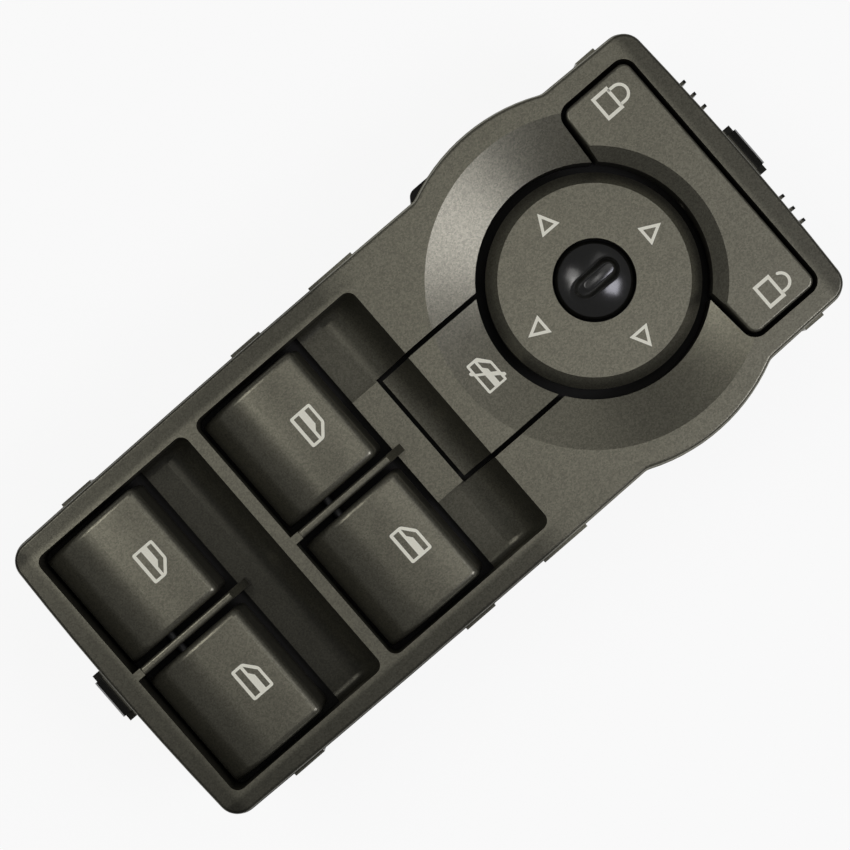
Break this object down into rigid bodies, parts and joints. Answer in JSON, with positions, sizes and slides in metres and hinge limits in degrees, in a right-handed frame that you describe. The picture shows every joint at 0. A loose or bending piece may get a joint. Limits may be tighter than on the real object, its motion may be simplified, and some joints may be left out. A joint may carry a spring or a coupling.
{
  "type": "power window switch",
  "caption": "Driver's door switch panel: rocking window paddles, a window lockout button, a door lock rocker and a round mirror pad with a turning selector knob.",
  "frame": {"origin": "under the middle of the plate, on the rear cover's flat face", "axes": "+X along the plate to the lock rocker, +Y to the left-hand paddles, +Z out of the painted face"},
  "size_m": [0.167, 0.0766, 0.041],
  "materials": {
    "soft_paint": "warm dark grey soft-touch paint with a fine metallic grain",
    "black_plastic": "fine-textured black moulded plastic",
    "satin_black": "smooth satin black plastic",
    "white_plastic": "natural white acetal",
    "switch_black": "black switch body",
    "board_green": "green lacquered circuit board",
    "tinned_pins": "tinned brass",
    "lamp_white": "small white lamp body",
    "clear_plastic": "clear polished acrylic",
    "zinc_steel": "zinc-plated steel",
    "spring_steel": "drawn spring wire"
  },
  "bodies": {
    "housing": {"bezel": "soft_paint", "switch_housing": "black_plastic", "rear_cover": "black_plastic", "circuit_board": "board_green", "connector_socket": "black_plastic", "connector_pins": "tinned_pins", "push_switches": "switch_black", "lamps": "lamp_white", "light_guides": "clear_plastic", "cover_screws": "zinc_steel", "rear_paddle_axle": "zinc_steel", "front_paddle_axle": "zinc_steel", "rocker_axle": "zinc_steel", "lockout_spring": "spring_steel"},
    "rocker": {"lock_rocker": "soft_paint"},
    "lockout": {"lockout_button": "soft_paint"},
    "gimbal": {"mirror_gimbal": "black_plastic"},
    "pad": {"mirror_pad": "soft_paint"},
    "selector": {"mirror_selector": "satin_black", "selector_wiper": "white_plastic"},
    "rear_left": {"rear_left_paddle": "soft_paint"},
    "rear_left_contact": {"rear_left_slider": "white_plastic"},
    "rear_right": {"rear_right_paddle": "soft_paint"},
    "rear_right_contact": {"rear_right_slider": "white_plastic"},
    "front_left": {"front_left_paddle": "soft_paint"},
    "front_left_contact": {"front_left_slider": "white_plastic"},
    "front_right": {"front_right_paddle": "soft_paint"},
    "front_right_contact": {"front_right_slider": "white_plastic"}
  },
  "joints": [
    {"name": "rear_left_rock", "type": "hinge", "parent": "housing", "child": "rear_left", "pos_m": [-0.066, 0, 0.0315], "axis": [0, 1, 0], "range_deg": [-5, 6], "stiffness_Nm_per_rad": 0.5},
    {"name": "rear_left_shift", "type": "slide", "parent": "housing", "child": "rear_left_contact", "axis": [1, 0, 0], "range_m": [-0.0015, 0.0013]},
    {"name": "rear_right_rock", "type": "hinge", "parent": "housing", "child": "rear_right", "pos_m": [-0.066, 0, 0.0315], "axis": [0, 1, 0], "range_deg": [-5, 6], "stiffness_Nm_per_rad": 0.5},
    {"name": "rear_right_shift", "type": "slide", "parent": "housing", "child": "rear_right_contact", "axis": [1, 0, 0], "range_m": [-0.0015, 0.0013]},
    {"name": "front_left_rock", "type": "hinge", "parent": "housing", "child": "front_left", "pos_m": [-0.0253, 0, 0.0315], "axis": [0, 1, 0], "range_deg": [-5, 6], "stiffness_Nm_per_rad": 0.5},
    {"name": "front_left_shift", "type": "slide", "parent": "housing", "child": "front_left_contact", "axis": [1, 0, 0], "range_m": [-0.0015, 0.0013]},
    {"name": "front_right_rock", "type": "hinge", "parent": "housing", "child": "front_right", "pos_m": [-0.0253, 0, 0.0315], "axis": [0, 1, 0], "range_deg": [-5, 6], "stiffness_Nm_per_rad": 0.5},
    {"name": "front_right_shift", "type": "slide", "parent": "housing", "child": "front_right_contact", "axis": [1, 0, 0], "range_m": [-0.0015, 0.0013]},
    {"name": "lock_rock", "type": "hinge", "parent": "housing", "child": "rocker", "pos_m": [0.0705, 0, 0.0315], "axis": [1, 0, 0], "range_deg": [-3.5, 3.5], "stiffness_Nm_per_rad": 0.5},
    {"name": "lockout_press", "type": "slide", "parent": "housing", "child": "lockout", "axis": [0, 0, 1], "range_m": [-0.0015, 0], "stiffness_N_per_m": 400, "springref_m": 0.001, "deforming": ["lockout_spring"]},
    {"name": "mirror_up_down", "type": "hinge", "parent": "housing", "child": "gimbal", "pos_m": [0.0426, 0, 0.031], "axis": [1, 0, 0], "range_deg": [-4, 4], "stiffness_Nm_per_rad": 0.5},
    {"name": "mirror_in_out", "type": "hinge", "parent": "gimbal", "child": "pad", "pos_m": [0.0426, 0, 0.031], "axis": [0, 1, 0], "range_deg": [-4, 4], "stiffness_Nm_per_rad": 0.5},
    {"name": "mirror_select", "type": "hinge", "parent": "housing", "child": "selector", "pos_m": [0.0426, 0, 0.035], "axis": [0, 0, 1], "range_deg": [-45, 45]}
  ],
  "couplings": [
    {"joint": "rear_left_shift", "follows": "rear_left_rock", "m_per_rad": -0.0125},
    {"joint": "rear_right_shift", "follows": "rear_right_rock", "m_per_rad": -0.0125},
    {"joint": "front_left_shift", "follows": "front_left_rock", "m_per_rad": -0.0125},
    {"joint": "front_right_shift", "follows": "front_right_rock", "m_per_rad": -0.0125}
  ]
}
